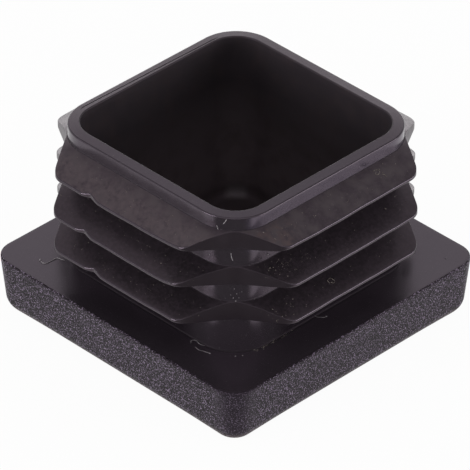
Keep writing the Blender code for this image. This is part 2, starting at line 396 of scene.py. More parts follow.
def score_bends(section):
    """A small V in the rim's top: down to the line's depth and up again."""
    along = place_along_side() / MM
    here = SIDE == SCORED_SIDE
    middle = np.where(here, np.interp(along, SCORE_ALONG, SCORE_INWARD), SCORE_INWARD[0]) * MM
    scored = np.where(here, np.clip(SCORE_HALF_LENGTH - np.abs(along), 0, 1), 0)
    half_width = SCORE_HALF_WIDTH * np.maximum(scored, LEAST_WIDTH)
    for step, share, skin, cuts in ((-1, 0, "crease", 1), (0, 1, "crease", 1), (1, 0, "rim", 5)):
        inward = middle + step * half_width
        height = RIM_Z - RIM_FALL * (1 - inward / CORE_WALL) - SCORE_DEPTH * scored * share
        section.bend(CORE_REACH - inward, height, SCORE_ROUNDING, 1, skin, cuts)


# %% [markdown]
# ### The whole walk
#
# The head's sides lean in towards the outer face, as a mould needs, and the outer face has a
# large rounding, while the seat's edge is nearly sharp. The core's foot and the rim have the
# small roundings of a worn mould, and the cavity's floor a larger fillet, where the core pin
# was rounded.

# %% Section of the cap
HEAD_CORNER_RADIUS = 2.15 * MM
HEAD_DRAFT_DEG = 5.9
OUTER_EDGE = 1.4 * MM           # large rounding round the outer face
SEAT_EDGE = 0.15 * MM
LAND_ROUNDING = 0.05 * MM       # where the drafted side turns upright, just under the seat
CORE_FOOT = 0.10 * MM
RIM_EDGE = 0.12 * MM
FLOOR_Z = 2.78 * MM             # the cavity's floor
FLOOR_FILLET = 0.9 * MM


def cap_section():
    """From the middle of the outer face to the middle of the cavity's floor."""
    draft = (SEAT_Z - 2 * SEAT_EDGE) * math.tan(math.radians(HEAD_DRAFT_DEG))
    foot = rounded_square_reach(HEAD_HALF - draft, HEAD_CORNER_RADIUS - draft)
    side = rounded_square_reach(HEAD_HALF, HEAD_CORNER_RADIUS)
    section = Section()
    section.bend(-INNER_HALF, 0, 0, 1, "outer", 2)
    section.bend(0, 0, 0, 1, "outer", 4)
    section.bend(foot, 0, OUTER_EDGE, 10, "eroded", 5)
    section.bend(side, SEAT_Z - 2 * SEAT_EDGE, LAND_ROUNDING, 2, "eroded", 1)
    section.bend(side, SEAT_Z, SEAT_EDGE, 5, "seat", 7, "eroded")
    section.bend(CORE_REACH, SEAT_Z, CORE_FOOT, 5, "wall", 4, "crease")
    for row in (2, 1, 0):
        fin_bends(section, row)
    section.bend(CORE_REACH, RIM_Z - RIM_FALL, RIM_EDGE, 4, "rim", 5, "edge")
    score_bends(section)
    section.bend(CORE_REACH - CORE_WALL, RIM_Z, RIM_EDGE, 4, "cavity", 7)
    section.bend(CORE_REACH - CORE_WALL, FLOOR_Z, FLOOR_FILLET, 8, "cavity", 3)
    section.bend(0, FLOOR_Z, 0, 1, "cavity", 2)
    section.bend(-INNER_HALF, FLOOR_Z, 0, 1, "cavity", 1)
    return section.rings()


RINGS, RING_SKINS = cap_section()
print(len(RINGS), "rings of", STATIONS, "stations")

# %% [markdown]
# ## From reach and height to a mesh
#
# A point of the surface is foot + ray * reach, at its height. Inside the inner square, where
# the reach is negative, the foot shrinks towards the middle instead, and both ends of the
# section meet there in a pole. The quads run up the section and anticlockwise round the cap,
# which makes them face outward. The same grid with two poles serves the threads of lint later.

# %% Grids with two poles
def surface_points(rings):
    """foot * (1 + inward / half) + ray * outward, at the ring's height."""
    reach, height = rings[:, 0], rings[:, 1]
    shrink = 1 + np.minimum(reach, 0) / INNER_HALF
    flat = FOOT[None] * shrink[..., None] + RAY[None] * np.maximum(reach, 0)[..., None]
    return np.concatenate([flat, height[..., None]], axis=2)


def pole_grid(points):
    """Vertices, quads and end triangles of a grid whose first and last ring are poles."""
    rings, around = points.shape[:2]
    body = points[1:-1].reshape(-1, 3)
    vertices = np.concatenate([points[:1, 0], body, points[-1:, 0]])
    index = 1 + np.arange((rings - 2) * around).reshape(rings - 2, around)
    ahead = np.roll(index, -1, axis=1)
    quads = np.stack([index[:-1], ahead[:-1], ahead[1:], index[1:]], axis=-1).reshape(-1, 4)
    bottom = np.stack([np.zeros(around, int), ahead[0], index[0]], axis=-1)
    top = np.stack([index[-1], ahead[-1], np.full(around, len(vertices) - 1)], axis=-1)
    return vertices, quads, np.concatenate([bottom, top])


def place(name, mesh):
    """Put a finished mesh in the scene, at the origin."""
    thing = bpy.data.objects.new(name, mesh)
    bpy.context.scene.collection.objects.link(thing)
    return thing


def smooth_piece(name, vertices, faces, zones):
    """A smooth-shaded piece with a material number for each face."""
    mesh = bpy.data.meshes.new(name)
    mesh.from_pydata(vertices.tolist(), [], faces)
    mesh.polygons.foreach_set("material_index", zones.astype(np.int32))
    mesh.shade_smooth()
    mesh.validate()
    mesh.update()
    return place(name, mesh)


# %% The moulded cap
SKINS = ("outer", "eroded", "seat", "wall", "crease", "satin", "edge", "rim", "cavity")


def moulded_cap():
    """The whole section as one closed mesh, each band of faces in the skin of its ring."""
    vertices, quads, ends = pole_grid(surface_points(RINGS))
    band = np.array([SKINS.index(skin) for skin in RING_SKINS])
    zones = np.repeat(np.concatenate([band[1:-2], band[:1], band[-2:-1]]), STATIONS)
    return smooth_piece("moulded_cap", vertices, quads.tolist() + ends.tolist(), zones)


cap = moulded_cap()
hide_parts("end_cap")
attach(cap, "root")
print(len(cap.data.polygons), "faces on the moulded cap")

# %% [markdown]
# ## The plastic
#
# Black polyethylene is a dark body under a clear, slightly waxy surface. Nearly all that the
# eye sees is what the surface reflects, about 4 percent head on and more at a slant. So one
# shader with a near-black colour does it, and the zones differ in how the mould finished them,
# in what lies on them, and in the light and shade that is painted into some of their colours.
# The reflection is faintly rosy, which the shader's specular tint gives. Where a zone looks
# stronger or fainter than bare plastic, because of wax or dust on it, its refractive index
# says so.
#
# The skins, the floor and the surroundings are all built from the same few nodes, so short
# calls for these come first.

# %% Short calls for nodes
COLOUR_A, COLOUR_B, COLOUR_RESULT = 6, 7, 2     # a Mix node's sockets for colours


class Tree:
    """Nodes of one material or world."""

    def __init__(self, owner):
        owner.use_nodes = True
        self.nodes = owner.node_tree.nodes
        self.links = owner.node_tree.links

    def feed(self, socket, value):
        """Link a node's output to a socket, or write a constant on it."""
        if isinstance(value, bpy.types.NodeSocket):
            self.links.new(value, socket)
        else:
            socket.default_value = value

    def math(self, operation, first, second):
        """One sum of two values, named as Blender names it."""
        node = self.nodes.new("ShaderNodeMath")
        node.operation = operation
        self.feed(node.inputs[0], first)
        self.feed(node.inputs[1], second)
        return node.outputs["Value"]

    def times(self, first, *others):
        """Product of two or more values."""
        for other in others:
            first = self.math("MULTIPLY", first, other)
        return first

    def ramp(self, value, low, high, from_value=0.0, to_value=1.0, shape="LINEAR"):
        """Ramp of a value between two limits."""
        node = self.nodes.new("ShaderNodeMapRange")
        node.interpolation_type = shape
        self.links.new(value, node.inputs["Value"])
        for name, limit in (("From Min", low), ("From Max", high),
                            ("To Min", from_value), ("To Max", to_value)):
            node.inputs[name].default_value = limit
        return node.outputs["Result"]

    def place_on(self, kind):
        """Object or Generated coordinates."""
        return self.nodes.new("ShaderNodeTexCoord").outputs[kind]

    def stretched(self, vector, scale, turn=0.0):
        """A vector scaled unevenly, to draw a pattern out one way, or turned about Z."""
        node = self.nodes.new("ShaderNodeMapping")
        node.inputs["Scale"].default_value = scale
        node.inputs["Rotation"].default_value = (0, 0, turn)
        self.links.new(vector, node.inputs["Vector"])
        return node.outputs["Vector"]

    def facing_front(self, vector):
        """A vector turned by 45 degrees, so that its X runs toward the front corner."""
        return self.stretched(vector, (1.0, 1.0, 1.0), math.pi / 4)

    def axis(self, vector, name):
        """One coordinate of a vector."""
        node = self.nodes.new("ShaderNodeSeparateXYZ")
        self.links.new(vector, node.inputs["Vector"])
        return node.outputs[name]


# %% A skin of plastic
BLACK = (0.016, 0.013, 0.0155)
DUST = (0.09, 0.085, 0.09)
INDEX = 1.54


class Skin(Tree):
    """A Principled material that lays colours, roughness and bumps over each other."""

    def __init__(self, name, base, roughness, tint, index=INDEX):
        self.material = bpy.data.materials.new(name)
        super().__init__(self.material)
        self.material.diffuse_color = (*base, 1.0)
        self.shader = self.nodes["Principled BSDF"]
        for socket, value in (("Base Color", (*base, 1.0)), ("Roughness", roughness),
                              ("IOR", index), ("Specular Tint", (*tint, 1.0))):
            self.shader.inputs[socket].default_value = value
        self.here = self.place_on("Object")

    def noise(self, size, detail=2.0, vector=None):
        """Cloudy pattern from 0 to 1 whose blobs are about size metres across."""
        node = self.nodes.new("ShaderNodeTexNoise")
        node.inputs["Scale"].default_value = 1 / size
        node.inputs["Detail"].default_value = detail
        self.links.new(vector or self.here, node.inputs["Vector"])
        return node.outputs["Fac"]

    def patches(self, size, detail, low, high):
        """Noise cut to patches: none of it below low, all of it above high."""
        return self.ramp(self.noise(size, detail), low, high)

    def over(self, name, low, high, share=1.0):
        """Rises from 0 to a share between two places on an axis, in mm."""
        return self.ramp(self.axis(self.here, name), low * MM, high * MM, 0.0, share)

    def to_front(self, low, high, share=1.0, name="X"):
        """The same, on the axis toward the front corner, or with Y on the one across it."""
        turned = self.axis(self.facing_front(self.here), name)
        return self.ramp(turned, low * MM, high * MM, 0.0, share)

    def facing_up(self, low, high):
        """Rises from 0 to 1 with the upward part of the surface's own direction."""
        geometry = self.nodes.new("ShaderNodeNewGeometry")
        return self.ramp(self.axis(geometry.outputs["Normal"], "Z"), low, high)

    def tint(self, factor, colour):
        """Lay a colour over what the base colour is so far, by a factor."""
        node = self.nodes.new("ShaderNodeMix")
        node.data_type = "RGBA"
        socket = self.shader.inputs["Base Color"]
        below = socket.links[0].from_socket if socket.is_linked else socket.default_value
        self.feed(node.inputs[COLOUR_A], below)
        self.feed(node.inputs[COLOUR_B], (*colour, 1.0))
        self.links.new(factor, node.inputs["Factor"])
        self.links.new(node.outputs[COLOUR_RESULT], socket)

    def rough(self, size, detail, low, high):
        """Roughness that wanders between two values in soft clouds."""
        cloud = self.ramp(self.noise(size, detail), 0.3, 0.7, low, high)
        self.links.new(cloud, self.shader.inputs["Roughness"])

    def bump(self, height, distance):
        """Raise the shading by a height pattern; further calls add to it."""
        node = self.nodes.new("ShaderNodeBump")
        node.inputs["Strength"].default_value = 1.0
        node.inputs["Distance"].default_value = distance
        self.links.new(height, node.inputs["Height"])
        socket = self.shader.inputs["Normal"]
        if socket.is_linked:
            self.links.new(socket.links[0].from_socket, node.inputs["Normal"])
        self.links.new(node.outputs["Normal"], socket)

    def drag_marks(self, distance):
        """Fine bumps drawn out upward, as the core is pulled from the mould."""
        self.bump(self.noise(0.35 * MM, 2.0, self.stretched(self.here, (1.0, 1.0, 0.12))), distance)


print("bare plastic reflects", round(100 * ((INDEX - 1) / (INDEX + 1)) ** 2, 1), "percent head on")

# %% Keep each finished skin
FINISHED = {}


def finish(zone, make_skin):
    """Make a zone's skin and keep it for the cap."""
    FINISHED[zone] = make_skin()
    print(zone, "skin:", len(FINISHED[zone].node_tree.nodes), "nodes")


# %% [markdown]
# ### The head's sides: spark-eroded grain
#
# The mould's side walls were sparked, which leaves tiny pits, 0.1 to 0.2 mm apart. They
# scatter the light into a fine sparkle with a cool cast. Modelled pits would need millions of
# faces, so a noise of that size bumps the shading, and its crests are painted paler and cool:
# the sparkle is a painted highlight. The front corner is painted darker, as painted shade, and
# towards the outer edge the grain turns a little brown.

# %% Eroded grain
def eroded_skin():
    skin = Skin("eroded_side", (0.002, 0.0012, 0.0015), 0.45, (1.0, 0.78, 1.0), 1.28)
    grain = skin.noise(0.125 * MM, 2.0)
    skin.bump(grain, 0.10 * MM)
    skin.rough(0.3 * MM, 2.0, 0.38, 0.52)
    # painted highlight: the grain's crests are painted pale and cool, as its sparkle
    skin.tint(skin.ramp(grain, 0.55, 0.63), (0.215, 0.170, 0.240))
    # painted shade: the head's front corner is painted darker
    skin.tint(skin.to_front(18.9, 19.9, 0.6), (0.026, 0.020, 0.028))
    # browner towards the bottom of the sides, by the outer edge
    skin.tint(skin.over("Z", 1.1, 0.3, 0.7), (0.080, 0.046, 0.038))
    return skin.material


finish("eroded", eroded_skin)

# %% [markdown]
# ### The seat: polished
#
# The ring that the tube's sawn end rests on is the shiniest zone. It mirrors the white
# surroundings and the dark blades above it, with only faint ripples and fine specks of dust.
# All of this comes from low roughness and real surroundings; nothing is painted on.

# %% Polished seat
def seat_skin():
    skin = Skin("polished_seat", (0.025, 0.020, 0.025), 0.14, (1.0, 0.76, 1.0))
    skin.rough(2.5 * MM, 3.0, 0.19, 0.27)
    skin.bump(skin.noise(4 * MM, 2.0), 0.02 * MM)
    skin.bump(skin.noise(0.12 * MM, 2.0), 0.0012 * MM)
    skin.tint(skin.patches(0.07 * MM, 0.0, 0.80, 0.84), DUST)
    return skin.material


finish("seat", seat_skin)

# %% [markdown]
# ### The core's wall and its creases
#
# Between the blades the wall is glossy and waxy, so it mirrors the blade above and the lamps
# beside it. Its colour is painted darker away from the front corner, painted shade that leaves
# that corner lighter. The bare band above the first row on side 0 is painted paler and bluish,
# a painted sheen. Where wall, blades and seat meet, the mould couldn't be polished: these
# creases are dull and hold grit, and next to the seat they are painted darker, as painted
# shade. The scored line in the rim has the same dull skin, painted dark over its grit, as
# painted shade in the groove.

# %% Core wall and creases
def wall_skin():
    skin = Skin("core_wall", (0.019, 0.016, 0.019), 0.18, (1.0, 0.80, 1.0), 1.76)
    skin.drag_marks(0.002 * MM)
    skin.bump(skin.noise(3 * MM, 2.0), 0.02 * MM)
    skin.rough(1.2 * MM, 3.0, 0.15, 0.23)
    # painted shade: darker away from the front corner, which leaves that corner lighter
    skin.tint(skin.to_front(12.8, 11.5), (0.004, 0.003, 0.004))
    # painted sheen: the bare band on side 0 is painted paler and bluish
    band = skin.times(skin.over("Z", 15.6, 16.2), skin.over("X", 10.6, 10.9))
    skin.tint(band, (0.032, 0.027, 0.037))
    skin.tint(skin.patches(0.08 * MM, 0.0, 0.80, 0.84), DUST)
    return skin.material


def crease_skin():
    skin = Skin("dull_crease", (0.028, 0.023, 0.028), 0.6, (1.0, 0.80, 0.96), 1.22)
    skin.bump(skin.noise(0.2 * MM, 2.0), 0.01 * MM)
    grains = skin.patches(0.16 * MM, 1.0, 0.60, 0.70)
    grit = skin.times(grains, skin.patches(1.8 * MM, 1.0, 0.46, 0.56))
    skin.tint(grit, (0.11, 0.10, 0.105))
    # painted shade: the creases are painted darker next to the seat
    skin.tint(skin.over("Z", 5.95, 5.80, 0.8), (0.010, 0.008, 0.010))
    # painted shade: the scored line in the rim is painted dark, over its grit
    skin.tint(skin.over("Z", 18.0, 18.5), (0.005, 0.004, 0.005))
    return skin.material


finish("wall", wall_skin)
finish("crease", crease_skin)

# %% [markdown]
# ### The blades: satin, and dusty where they face up
#
# The inner mould parts were only stoned, so the blades are half matt with faint upright drag
# marks. Dust settles on what faces up, so every layer of it is multiplied by the upward part
# of the surface's direction. The first row has most: pale clouds, a finer film along side 3,
# and a brown stain at the front end of side 0.

# %% Satin blades
def satin_skin():
    skin = Skin("satin_core", BLACK, 0.34, (1.0, 0.76, 0.92))
    skin.drag_marks(0.004 * MM)
    skin.bump(skin.noise(3 * MM, 2.0), 0.03 * MM)
    skin.rough(1.2 * MM, 3.0, 0.30, 0.40)
    up = skin.facing_up(0.35, 0.85)
    skin.tint(skin.times(skin.patches(0.30 * MM, 3.0, 0.40, 0.66), up), (0.026, 0.020, 0.025))
    first_row = skin.times(skin.over("Z", 15.4, 16.2), up)
    cloud = skin.times(skin.patches(1.3 * MM, 4.0, 0.42, 0.66), first_row)
    skin.tint(cloud, (0.040, 0.034, 0.036))
    film = skin.times(skin.patches(0.4 * MM, 6.0, 0.30, 0.62), skin.over("Y", -11.4, -12.5))
    skin.tint(skin.times(film, first_row), (0.052, 0.041, 0.044))
    front_end = skin.times(skin.over("Y", -5.0, -7.0), skin.over("X", 11.2, 11.8))
    stain = skin.times(skin.patches(0.6 * MM, 5.0, 0.42, 0.66), front_end)
    skin.tint(skin.times(stain, first_row), (0.048, 0.034, 0.032))
    specks = skin.times(skin.patches(0.11 * MM, 0.0, 0.76, 0.84),
                        skin.patches(1.6 * MM, 1.0, 0.50, 0.62))
    skin.tint(skin.times(specks, up), (0.09, 0.082, 0.084))
    return skin.material


finish("satin", satin_skin)

# %% [markdown]
# ### Edges, rim, cavity and outer face
#
# The thin edges are burnished by handling and catch the light as fine lines. The rim's top is
# satin; behind its middle it is painted paler, a painted sheen, and at the back corner it is
# painted dark again, as painted shade. The cavity is dull, and its skin gets paler further
# down, because so little light reaches there that the same plastic would look black; its
# floor is painted darker again. One small glint, a painted highlight, lies in the back corner
# of its floor. The outer face is what shows when the cap is in use: matt, with faint scuffs.

# %% Edges and rim
def edge_skin():
    skin = Skin("burnished_edge", BLACK, 0.2, (1.0, 0.80, 1.0))
    skin.rough(0.6 * MM, 3.0, 0.10, 0.22)
    skin.bump(skin.noise(0.15 * MM, 2.0), 0.002 * MM)
    skin.tint(skin.patches(0.10 * MM, 0.0, 0.76, 0.82), DUST)
    return skin.material


def rim_skin():
    skin = Skin("satin_rim", (0.024, 0.020, 0.024), 0.36, (1.0, 0.75, 1.0))
    # painted sheen: the rim's top is painted paler behind its middle
    skin.tint(skin.to_front(5, -2), (0.040, 0.032, 0.035))
    # painted shade: the rim's top is painted dark again at the back corner
    skin.tint(skin.to_front(-6, -9), (0.020, 0.014, 0.015))
    skin.rough(0.8 * MM, 3.0, 0.31, 0.42)
    skin.bump(skin.noise(0.2 * MM, 3.0), 0.004 * MM)
    skin.tint(skin.patches(0.09 * MM, 0.0, 0.76, 0.82), (0.10, 0.092, 0.095))
    return skin.material


finish("edge", edge_skin)
finish("rim", rim_skin)

# %% Cavity and outer face
def cavity_skin():
    skin = Skin("satin_cavity", (0.026, 0.0215, 0.0245), 0.38, (1.0, 0.80, 1.0), 1.32)
    skin.bump(skin.noise(0.9 * MM, 2.0), 0.006 * MM)
    skin.rough(2 * MM, 3.0, 0.42, 0.54)
    skin.tint(skin.over("Z", 15, 6), (0.118, 0.093, 0.102))
    # the floor is painted darker again than the walls just above it
    skin.tint(skin.over("Z", 4.4, 3.2, 0.85), (0.036, 0.027, 0.030))
    # painted highlight: a small glint painted on the fillet in the back corner of the floor
    back_corner = skin.times(skin.over("Z", 4.3, 3.6), skin.to_front(-12.3, -12.9))
    middle = skin.times(skin.to_front(-1.2, -0.6, name="Y"), skin.to_front(1.2, 0.6, name="Y"))
    skin.tint(skin.times(back_corner, middle), (0.100, 0.086, 0.092))
    skin.tint(skin.ramp(skin.noise(1.4 * MM, 4.0), 0.45, 0.75, 0.0, 0.4), (0.040, 0.029, 0.029))
    return skin.material


def outer_skin():
    skin = Skin("outer_face", BLACK, 0.42, (1.0, 0.80, 1.0))
    skin.rough(1.5 * MM, 3.0, 0.36, 0.50)
    skin.bump(skin.noise(0.25 * MM, 2.0), 0.008 * MM)
    skin.tint(skin.patches(0.8 * MM, 4.0, 0.5, 0.75), (0.04, 0.034, 0.030))
    return skin.material


finish("cavity", cavity_skin)
finish("outer", outer_skin)

# %% Give the cap its skins
for zone in SKINS:
    cap.data.materials.append(FINISHED[zone])
print([material.name for material in cap.data.materials])

# %% [markdown]
# ## Lint and grit
#
# A used cap is never clean. A curl of cotton lies on the seat, a few short hairs stick to the
# core near the front corner, and grit sits on the upper faces of the blades. Paint or a
# texture would look flat from the side, so each is a thread: a closed tube along a smooth
# curve, thin at both ends and a little lumpy. A grain of grit is a thread that is about as
# short as it is thick.

# %% A thread
GRAIN_RINGS, FIBRE_RINGS = 3, 6         # rings for each point of a thread
AROUND = 6
LUMP_SHIFT = 3e4                        # per metre, so that no two threads are lumpy alike


def unit(vectors):
    """Each row of an array, made one unit long."""
    return vectors / np.linalg.norm(vectors, axis=1)[:, None]


def smooth_curve(points, count):
    """Curve through the points, as count places along it.

    Between two points b and c, with a before and d after them, it is the cubic that passes
    through b and c with half of (c - a) and of (d - b) as its directions.
    """
    knots = np.concatenate([[2 * points[0] - points[1]], points, [2 * points[-1] - points[-2]]])
    run = np.linspace(0, len(points) - 1, count)
    piece = np.minimum(run.astype(int), len(points) - 2)
    t = (run - piece)[:, None]
    a, b, c, d = (knots[piece + step] for step in range(4))
    return 0.5 * (2 * b + (c - a) * t + (2 * a - 5 * b + 4 * c - d) * t ** 2
                  + (3 * b - a - 3 * c + d) * t ** 3)


def thread(points, thickness):
    """Closed tube along a smooth curve, lying on the seat or against the core.

    The half thickness falls to nothing at both ends as the root of 1 - s to the power n,
    where s runs from -1 to 1: n = 2 makes a grain round, n = 8 ends a fibre bluntly. Two
    sines, one along it and one round it, make it lumpy.
    """
    points, thickness = np.asarray(points) * MM, thickness * MM
    length = np.linalg.norm(np.diff(points, axis=0), axis=1).sum()
    line = smooth_curve(points, len(points) * (GRAIN_RINGS if len(points) == 2 else FIBRE_RINGS))
    away = line - np.clip(line, -INNER_HALF, INNER_HALF)
    away[:, 2] = 0
    away[line[:, 2] < SEAT_Z + 0.01 * MM] = (0, 0, 1)
    away = unit(away)
    ahead = unit(np.gradient(line, axis=0))
    across = unit(np.cross(away, ahead))
    over = np.cross(ahead, across)
    share = np.linspace(-1, 1, len(line))
    power = 2 if length < 3 * thickness else 8
    lumps = 1 + 0.25 * np.sin(7 * share + LUMP_SHIFT * points[0, 0])
    radius = thickness / 2 * np.sqrt(1 - np.abs(share) ** power) * lumps
    turn = np.linspace(0, 2 * math.pi, AROUND, endpoint=False)
    bulge = 1 + 0.15 * np.sin(3 * turn + 1)
    ring = (across[:, None] * (np.cos(turn) * bulge)[:, None]
            + over[:, None] * (0.8 * np.sin(turn) * bulge)[:, None])
    return (line + away * thickness * 0.35)[:, None] + radius[:, None, None] * ring


print("a short fibre has", thread([(12, 0, 6), (12, 0, 7)], 0.05).shape[0], "rings")

# %% [markdown]
# ### Where the lint lies
#
# The few fibres that the eye finds are written down one by one. The rest is a sprinkle, so
# it only needs the right density: drifts of fine grains on each blade and along the core's
# foot, from a generator with a fixed seed. Grit on a blade is placed by how far along the
# blade and how deep on it, so it stays on the surface when the blades change.

# %% Fibres and grains one by one
SEAT_LINT = (   # thickness, then places on the seat, in mm
    (0.085, ((-11.12, -12.70), (-10.69, -12.84), (-10.41, -12.60), (-10.37, -11.98),
             (-10.34, -11.44), (-9.96, -11.34), (-9.60, -11.20))),
    (0.16, ((-11.20, -12.63), (-11.08, -12.76))),
    (0.04, ((6.70, -11.95), (6.42, -11.60), (6.70, -11.35), (7.10, -11.45), (7.60, -11.40),
            (8.10, -11.00))),
    (0.04, ((7.30, -12.05), (7.80, -12.10), (8.45, -11.90), (8.81, -11.78))),
    (0.08, ((8.75, -11.86), (8.90, -11.76))),
    (0.045, ((11.03, -1.52), (11.34, -1.64), (11.60, -1.54), (11.91, -1.25), (12.05, -0.91))),
    (0.05, ((10.51, -0.19), (10.79, -0.28), (11.10, -0.49))),
    (0.09, ((11.93, -1.03), (12.02, -0.94))),
    (0.06, ((13.12, 12.50), (13.31, 12.49))),
    (0.06, ((10.60, -10.60), (10.66, -10.48))),
    (0.06, ((10.95, -10.10), (11.03, -10.00))),
    (0.05, ((9.30, -9.90), (9.42, -9.80))))
CORE_LINT = (   # thickness, then points against the core, in mm
    (0.065, ((9.60, -10.61, 19.30), (9.50, -10.70, 19.00), (9.32, -10.79, 18.74))),
    (0.055, ((8.85, -11.02, 18.50), (8.95, -10.98, 18.15), (9.09, -10.91, 17.89))),
    (0.06, ((9.90, -10.40, 15.90), (9.93, -10.36, 15.45), (10.02, -10.28, 15.09))),
    (0.09, ((11.30, -7.50, 15.06), (11.30, -7.42, 14.94))),
    (0.08, ((8.16, -11.22, 15.36), (8.24, -11.20, 15.24))),
    (0.10, ((10.09, -10.21, 12.25), (10.12, -10.18, 12.20))),
    (0.07, ((10.24, -10.07, 11.74), (10.27, -10.04, 11.69))),
    (0.09, ((10.04, -10.27, 11.32), (10.07, -10.24, 11.27))),
    (0.10, ((10.18, -10.12, 11.01), (10.21, -10.09, 10.96))),
    (0.07, ((10.35, -9.94, 11.32), (10.38, -9.91, 11.27))),
    (0.08, ((10.13, -10.18, 10.70), (10.16, -10.15, 10.65))),
    (0.06, ((10.51, -9.74, 11.92), (10.54, -9.71, 11.87))),
    (0.06, ((9.87, -10.41, 11.61), (9.90, -10.38, 11.56))))
BLADE_LINT = (  # side, row, thickness in mm, then along the blade in mm and share of its depth
    (0, 0, 0.038, ((4.55, 0.24), (4.75, 0.20), (5.00, 0.24), (4.98, 0.33), (4.75, 0.37),
                   (4.60, 0.31), (4.72, 0.27))),
    (0, 0, 0.035, ((5.05, 0.42), (5.20, 0.48), (5.22, 0.58))),
    (0, 2, 0.038, ((-1.85, 0.60), (-1.78, 0.50), (-1.52, 0.47), (-1.30, 0.53), (-1.42, 0.62),
                   (-1.62, 0.63))))
GRIT = (        # row of side 0, along the blade in mm, share of its depth, size in mm
    (0, -1.55, 0.21, 0.09), (0, -8.74, 0.20, 0.10), (0, 5.15, 0.24, 0.09), (0, 5.24, 0.38, 0.08),
    (0, 4.68, 0.27, 0.08), (0, 4.79, 0.50, 0.07), (0, -5.70, 0.39, 0.08), (0, -3.19, 0.51, 0.08),
    (0, -8.09, 0.53, 0.07), (0, -7.19, 0.59, 0.06), (0, -6.88, 0.65, 0.06), (0, -7.27, 0.49, 0.06),
    (1, -7.73, 0.27, 0.10), (1, -8.03, 0.25, 0.09), (1, 5.34, 0.39, 0.09), (1, -7.25, 0.68, 0.08),
    (1, -6.68, 0.16, 0.08), (1, 1.63, 0.30, 0.08), (1, 6.36, 0.64, 0.08), (1, -7.71, 0.53, 0.07),
    (2, -1.74, 0.58, 0.14), (2, -1.21, 0.53, 0.12), (1, 5.30, 0.41, 0.12), (1, -7.85, 0.24, 0.13))
print(len(SEAT_LINT + CORE_LINT + BLADE_LINT + GRIT), "fibres and grains written down")


# %% Places on a blade and beside the core
def nearest_station(side, along):
    """The station of a side whose foot lies closest to a place along it, in mm."""
    return np.argmin(np.abs(place_along_side() - along * MM) + np.where(SIDE == side, 0, 1))


def on_blade(side, row, along, share):
    """Point in mm on a blade's upper face."""
    station = nearest_station(side, along)
    full = BORE_HALF + FIN_SQUEEZE[row] - INNER_HALF - CORE_REACH
    drop = (FIN_ROOT - FIN_RISE - FIN_EDGE - fin_set(row)[station]) * share
    flat = FOOT[station] + RAY[station] * (CORE_REACH + full * share)
    return np.append(flat, RIM_Z - RIM_BAND - row * FIN_PITCH - drop) / MM


def beside_core(side, along, beyond):
    """Point in mm on the seat, beyond the foot of the core."""
    station = nearest_station(side, along)
    return np.append(FOOT[station] + RAY[station] * (CORE_REACH + beyond * MM), SEAT_Z) / MM


def grain(middle, reach, size):
    """Short thread about a point, all in mm."""
    return thread([middle - reach, middle + reach], size)


def written_down():
    """Pale fibres first, then the brown ones on the blades and the larger grit."""
    pale = [thread([(*spot, SEAT_Z / MM) for spot in spots], size) for size, spots in SEAT_LINT]
    pale += [thread(points, size) for size, points in CORE_LINT]
    lifted = (0, 0, 0.02)
    brown = [thread([on_blade(side, row, *spot) + lifted for spot in spots], size)
             for side, row, size, spots in BLADE_LINT]
    for row, along, share, size in GRIT:
        reach = np.array([0.35, 0.45, 0.1]) * size * math.cos(9 * along)
        brown.append(grain(on_blade(0, row, along, share), reach, size))
    return pale, brown


# %% Drifts of fine grains
DRIFTS = (  # side, row, middle along the blade, middle share, spreads of both, number of grains
    (0, 0, -6.5, 0.45, 2.0, 0.15, 26), (0, 1, -7.2, 0.35, 1.6, 0.16, 60),
    (0, 2, -7.0, 0.65, 1.5, 0.14, 22), (0, 0, 1.0, 0.40, 4.0, 0.20, 30),
    (0, 1, 2.0, 0.45, 4.5, 0.22, 26), (3, 0, 0.0, 0.50, 5.0, 0.22, 40),
    (3, 1, 0.0, 0.50, 5.0, 0.22, 46), (3, 2, 0.0, 0.55, 5.0, 0.20, 46),
    (0, 2, 0.0, 0.60, 4.5, 0.18, 20))
DRIFT_SIZES = (0.03, 0.065)         # in mm
BLADE_END = 9.5                     # no grain further along than this, in mm
ON_BLADE = (0.08, 0.9)              # nor outside these shares of the depth
FOOT_GRAINS = 34
FOOT_ALONG = (-10.0, -4.5)          # in mm, along side 0
FOOT_SIZES = (0.04, 0.10)
UNEVEN = 0.4                        # how far a grain is longer one way than the others


def sprinkled(seed=11):
    """Grains about the middle of each drift, and more of them the nearer to the core's foot."""
    chance = np.random.default_rng(seed)
    grains = []
    for side, row, middle, share, spread, share_spread, count in DRIFTS:
        for along, depth, size in zip(chance.normal(middle, spread, count),
                                      chance.normal(share, share_spread, count),
                                      chance.uniform(*DRIFT_SIZES, count)):
            if abs(along) < BLADE_END and ON_BLADE[0] < depth < ON_BLADE[1]:
                reach = chance.normal(0, UNEVEN, 3) * size
                grains.append(grain(on_blade(side, row, along, depth), reach, size))
    for along, beyond, size in zip(chance.uniform(*FOOT_ALONG, FOOT_GRAINS),
                                   chance.exponential(0.12, FOOT_GRAINS) + 0.04,
                                   chance.uniform(*FOOT_SIZES, FOOT_GRAINS)):
        reach = np.append(chance.normal(0, UNEVEN, 2), 0) * size
        grains.append(grain(beside_core(0, along, beyond), reach, size))
    return grains


# %% [markdown]
# All threads go into one mesh with two skins: pale cotton, and brown grit. Both are fully
# matt and mottled, so that they read as fibres and dirt and not as scratches in the plastic.

# %% Lint and grit
def lint_skin(name, dark, light):
    skin = Skin(name, dark, 0.8, (1.0, 1.0, 1.0))
    skin.tint(skin.patches(0.25 * MM, 2.0, 0.35, 0.65), light)
    skin.bump(skin.noise(0.03 * MM, 2.0), 0.006 * MM)
    return skin.material


